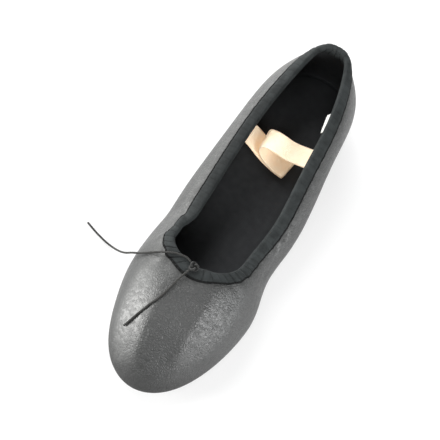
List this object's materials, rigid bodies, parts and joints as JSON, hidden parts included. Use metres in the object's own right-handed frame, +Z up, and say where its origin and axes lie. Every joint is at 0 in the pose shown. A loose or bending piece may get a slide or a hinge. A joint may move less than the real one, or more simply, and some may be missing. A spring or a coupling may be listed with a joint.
{
  "type": "dance teacher shoe",
  "caption": "Soft black leather slipper with a folded collar tape, drawstring and elastic strap, on a thin sole with a low block heel; worn for teaching dance.",
  "frame": {"origin": "on the floor, under the middle of the shoe's length and width", "axes": "+X across the shoe to the wearer's left when the toe points away along -Y, +Y from toe to heel, +Z up"},
  "size_m": [0.1202, 0.2383, 0.0706],
  "materials": {
    "black_leather": "soft black leather with a fine pebbled grain and a low satin gloss",
    "binding_tape": "matte slate-black woven tape",
    "sock_lining": "matte black lining cloth over the insole",
    "sole_leather": "matte black buffed sole leather",
    "heel_block": "dull black heel block",
    "peach_elastic": "pale peach ribbed elastic",
    "white_weave": "plain white woven label",
    "cord_cotton": "black waxed cotton cord"
  },
  "bodies": {
    "root": {"upper": "black_leather", "collar_binding": "binding_tape", "insole": "sock_lining", "outsole": "sole_leather", "heel": "heel_block", "elastic_strap": "peach_elastic", "inner_label": "white_weave", "drawstring_knot": "cord_cotton", "drawstring_long_end": "cord_cotton", "drawstring_short_end": "cord_cotton"}
  },
  "joints": []
}
